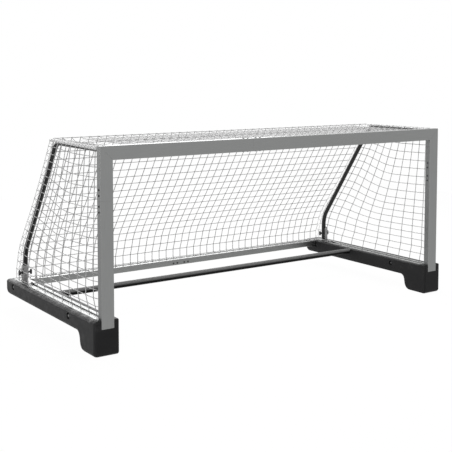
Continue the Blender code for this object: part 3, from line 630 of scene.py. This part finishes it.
cord_finish = Finish("twisted_polyethylene_cord", (0.45, 0.45, 0.45), 0.6)
cord_uv = cord_finish.nodes.new("ShaderNodeUVMap")
cord_uv.uv_map = "along_cord"
turned_uv = cord_finish.nodes.new("ShaderNodeMapping")
turned_uv.inputs["Scale"].default_value = (STRANDS_ALONG, STRANDS_ROUND, 1)
cord_finish.links.new(cord_uv.outputs[0], turned_uv.inputs["Vector"])
strands = cord_finish.nodes.new("ShaderNodeTexWave")
strands.wave_type = "BANDS"
strands.bands_direction = "DIAGONAL"
strands.wave_profile = "SIN"
strands.inputs["Scale"].default_value = 0.5
strands.inputs["Distortion"].default_value = 0.6
cord_finish.links.new(turned_uv.outputs[0], strands.inputs["Vector"])
strand = strands.outputs["Fac"]
mesh_shades = cord_finish.shades(strand, (0.1, (0.38, 0.38, 0.38)), (0.8, (0.52, 0.52, 0.52)))
border_shades = cord_finish.shades(strand, (0.1, (0.66, 0.66, 0.66)), (0.8, (0.80, 0.80, 0.80)))
white_share = cord_finish.nodes.new("ShaderNodeAttribute")
white_share.attribute_name = "white_cord"
two_cords = cord_finish.nodes.new("ShaderNodeMix")
two_cords.data_type = "RGBA"
cord_finish.links.new(white_share.outputs["Fac"], two_cords.inputs[0])
cord_finish.links.new(mesh_shades, two_cords.inputs[6])
cord_finish.links.new(border_shades, two_cords.inputs[7])
cord_finish.set("Base Color", two_cords.outputs[2])
cord_finish.roughness(300, 0.5, 0.7)
cord_finish.bump(strand, 0.0008, 0.8)


# Side panels: each is stretched between the post, the rail and the arm, with white rope in the tracks of the
# post and the rail, and lacing along the corner with the rear and top panels. The top edge is rolled up along
# the arm and wound with cord.

# Heights are above the floor and distances go back from the goal's front. A pair is the distance and the
# height of a point, or where a change along the panel starts and ends.
SIDE_COLUMNS, SIDE_ROWS = 11, 18
SIDE_PLANE = 1.3155
TRACK_MIDDLE = 1.290
PANEL_HALF = 1.290
RAIL_TOP = 0.198
IN_TRACK = 0.1905
OVER_FOOT = 0.2042
SIDE_TOP = 1.1695
SHOULDER_HEIGHT = 1.177
TOP_HEIGHT = 1.1805
TRACK_EDGE = 0.0447
POST_LINE = 0.036
IN_POST = 0.0365
REAR_PROFILE = ((1.288, 0.2005), (1.290, 0.250), (1.268, 0.315), (1.207, 0.455), (0.927, 0.829),
                (0.715, 1.152), (0.700, SHOULDER_HEIGHT))
TOP_PROFILE = ((TRACK_EDGE, TOP_HEIGHT), (0.350, TOP_HEIGHT - 0.001), (0.700, SHOULDER_HEIGHT))
LOW_ROWS_START, LOW_ROWS_STEP = 0.213, 0.049
HIGH_ROWS_START, HIGH_ROWS_STEP = 0.654, 0.0575
LAST_LOW_ROW = 9
ROW_LIFT, ROW_LIFT_SKEW = 0.068, 1.2
ROW_LIFT_ZONE = (0.443, 0.884)
ROW_SAG = 0.0143
COLUMN_DRIFT, DRIFT_GAIN = -0.032, 0.027
UNDER_ARM = 0.006
DRAWN_TO_RAIL = (RAIL_TOP + 0.004, RAIL_TOP + 0.105)
DRAWN_TO_POST = (0.044, 0.115)
FLOAT_REAR_FOOT = (0.94, 1.02)
BRACKET_FOOT = (1.02, 1.085)
KNOB_AXIS = (1.187, 0.258)
KNOB_CLEARANCE = 0.027
KNOB_STEPS = 6
NEAR_KNOB = (1.10, 0.33)
ROPE_RADIUS = 0.0045
TRACK_PITCH = 0.015
RAIL_ROPE = ((0.065, IN_TRACK), (0.960, IN_TRACK))
POST_ROPE = ((IN_POST, 0.225), (IN_POST, 1.085))
CORNER_PITCH = 0.045
ROLL_FRONT = (1.3190, 0.052, 1.1630)
ROLL_REAR = (1.3155, 0.695, 1.1665)
ROLL_RADII = (0.0125, 0.0085)
ROLL_LACE_PITCH = 0.040
ROLL_TURN_STEPS = 8

rear_line = smooth_line(REAR_PROFILE, 14)
top_line = smooth_line(TOP_PROFILE, 8)
rising = np.argsort(rear_line[:, 1])


def side_knot(i, j, way):
    """Knot of a side panel: columns follow the arm's bend, rows lift towards it."""
    s = i / SIDE_COLUMNS
    post_row = LOW_ROWS_START + LOW_ROWS_STEP * j
    if j > LAST_LOW_ROW:
        post_row = HIGH_ROWS_START + HIGH_ROWS_STEP * (j - LAST_LOW_ROW)
    lift = ROW_LIFT * math.sin(math.pi * (j / SIDE_ROWS) ** ROW_LIFT_SKEW)
    height = post_row + lift * ease(s, *ROW_LIFT_ZONE)
    height -= ROW_SAG * math.sin(math.pi * j / SIDE_ROWS) * math.sin(math.pi * s)
    if j == 0:
        height = IN_TRACK
    if j == SIDE_ROWS:
        height = SIDE_TOP
    drift = COLUMN_DRIFT + DRIFT_GAIN * (height - RAIL_TOP) / (SHOULDER_HEIGHT - RAIL_TOP)
    share = s + drift * math.sin(math.tau * s)
    arm_height = min(height, SHOULDER_HEIGHT)
    edge = float(np.interp(arm_height, rear_line[rising, 1], rear_line[rising, 0])) - UNDER_ARM
    distance = POST_LINE + (edge - POST_LINE) * share
    if i == 0:
        distance = TRACK_EDGE
    near_rail = 1 - ease(height, *DRAWN_TO_RAIL)
    beside_bracket = ease(distance, *BRACKET_FOOT)
    at_post = 1 - ease(distance, *DRAWN_TO_POST)
    drawn_in = max(near_rail * (1 - beside_bracket), at_post)
    x = SIDE_PLANE - (SIDE_PLANE - TRACK_MIDDLE) * drawn_in
    if j == 0:
        height += (OVER_FOOT - IN_TRACK) * ease(distance, *FLOAT_REAR_FOOT)
    return (way * x, FRONT + distance, height)


def round_knob(a, b):
    """Steps from knot to knot that pass round the wing knob."""
    steps = []
    for n in range(1, KNOB_STEPS + 1):
        spot = Vector(a).lerp(Vector(b), n / KNOB_STEPS)
        offset = Vector((spot.y - FRONT - KNOB_AXIS[0], spot.z - KNOB_AXIS[1]))
        if offset.length < KNOB_CLEARANCE:
            offset = offset.normalized() * KNOB_CLEARANCE
            spot.y, spot.z = FRONT + KNOB_AXIS[0] + offset.x, KNOB_AXIS[1] + offset.y
        steps.append(spot)
    return steps


def side_steps(a, b):
    """Steps from knot to knot of a side panel."""
    a, b = Vector(a), Vector(b)
    near_knob = max(a.y, b.y) > FRONT + NEAR_KNOB[0] and min(a.z, b.z) < NEAR_KNOB[1]
    return round_knob(a, b) if near_knob else straight(a, b)


for side, way in (("left", -1), ("right", 1)):
    knots = [[side_knot(i, j, way) for j in range(SIDE_ROWS + 1)] for i in range(SIDE_COLUMNS + 1)]
    panel = Cords()
    panel.grid(knots, side_steps, edge_rows=(0, SIDE_ROWS))
    outer = knots[SIDE_COLUMNS] + [knots[i][SIDE_ROWS] for i in range(SIDE_COLUMNS - 1, -1, -1)]
    inner = [(way * PANEL_HALF, FRONT + back, height) for back, height in (*rear_line, *reversed(top_line))]
    outer_points = spaced(outer, CORNER_PITCH)
    panel.lace(even_points(np.array(inner), len(outer_points) - 1), outer_points)
    for rope in (RAIL_ROPE, POST_ROPE):
        ends = [(way * TRACK_MIDDLE, FRONT + back, height) for back, height in rope]
        panel.tube(spaced(ends, TRACK_PITCH), ROPE_RADIUS, white=1.0)
    roll_ends = [(way * x, FRONT + back, height) for x, back, height in (ROLL_FRONT, ROLL_REAR)]
    roll = spaced(roll_ends, ROLL_LACE_PITCH / ROLL_TURN_STEPS)
    radii = np.linspace(*ROLL_RADII, len(roll))
    panel.tube(roll, radii, white=1.0)
    turns = math.tau / ROLL_TURN_STEPS * np.arange(len(roll))
    around = np.stack((np.cos(turns), np.zeros(len(roll)), np.sin(turns)), axis=1)
    panel.tube(roll + around * radii[:, None], LACE_RADIUS)
    net_side = panel.finish("side_netting_" + side, cord_finish.material)
    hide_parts("net_side_" + side)
    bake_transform(net_side)


# Rear panel: the long panel's part from the rear bar up behind the arms. Its hem is laced to the white rope
# that lies in the rear bar's track.
MESH_SIZE = 0.0597
COLUMNS = round(2 * PANEL_HALF / MESH_SIZE)
REAR_ROWS = 19
HEM_LACING = ((1.2885, 0.2030), (1.2665, 0.2002), (1.2575, 0.1895))
REAR_ROPE = (1.250, IN_TRACK + 0.0015)
LACE_MARGIN = 0.06
ROPE_MARGIN = 0.045


def full_width(back, height, margin):
    """Points over the panel's width, but for a margin at each end."""
    half = PANEL_HALF - margin
    return spaced([(-half, FRONT + back, height), (half, FRONT + back, height)], TRACK_PITCH)


def lace_across(panel, profile):
    """Lacing along the full width, back and forth over the points of a profile."""
    panel.lace(*(full_width(back, height, LACE_MARGIN) for back, height in profile))


across = np.linspace(-PANEL_HALF, PANEL_HALF, COLUMNS + 1)
rear_rows = even_points(rear_line, REAR_ROWS)
rear_knots = [[(x, FRONT + back, height) for back, height in rear_rows] for x in across]
rear_panel = Cords()
rear_panel.grid(rear_knots, straight)
lace_across(rear_panel, HEM_LACING)
rear_panel.tube(full_width(*REAR_ROPE, ROPE_MARGIN), ROPE_RADIUS, white=1.0)
rear_netting = rear_panel.finish("rear_netting", cord_finish.material)
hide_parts("net_back_upper", "net_back_lower")
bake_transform(rear_netting)


# Top panel: the long panel's part over the arms to the crossbar, where it is laced to the white rope in the
# track. It is of thinner cord, sags a little, and hangs lower beside each arm. Its rows are painted white, a
# painted highlight for the overhead light on the panel.
TOP_ROWS = 11
TOP_CORD_RADIUS = 0.0019
TOP_ROW_RADIUS = 0.0012
TOP_SAG = 0.008
SAG_EASES = 1.16
ARM_TROUGH = 0.020
TROUGH_INNER = (1.12, 1.18)
TROUGH_OUTER = (1.235, 1.285)
TROUGH_FRONT = (0.045, 0.115)
LEVEL_AT_SHOULDER = 0.06
TOP_LACING = ((0.0455, TOP_HEIGHT - TOP_SAG), (0.0440, 1.1560), (0.0340, 1.1440))
TOP_ROPE = (IN_POST, 1.138)


def top_drop(x, back):
    """How far the top panel hangs below its edges: a little everywhere, more beside the arms."""
    beside_arm = ease(abs(x), *TROUGH_INNER) * (1 - ease(abs(x), *TROUGH_OUTER)) * ease(back, *TROUGH_FRONT)
    everywhere = 1 - ease(abs(x), SAG_EASES, PANEL_HALF)
    drop = TOP_SAG * everywhere + ARM_TROUGH * beside_arm
    return drop * ease(TOP_PROFILE[-1][0] - back, 0, LEVEL_AT_SHOULDER)


top_rows = even_points(top_line, TOP_ROWS)
top_knots = [[(x, FRONT + back, height - top_drop(x, back)) for back, height in top_rows] for x in across]
top_panel = Cords()
# The rows take the white cord colour: painted highlight.
top_panel.grid(top_knots, straight, rows_drawn=range(TOP_ROWS), radius=TOP_CORD_RADIUS,
               row_cord=(TOP_ROW_RADIUS, 1.0))
lace_across(top_panel, TOP_LACING)
top_panel.tube(full_width(*TOP_ROPE, ROPE_MARGIN), ROPE_RADIUS, white=1.0)
top_netting = top_panel.finish("top_netting", cord_finish.material)
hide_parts("net_top")
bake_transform(top_netting)
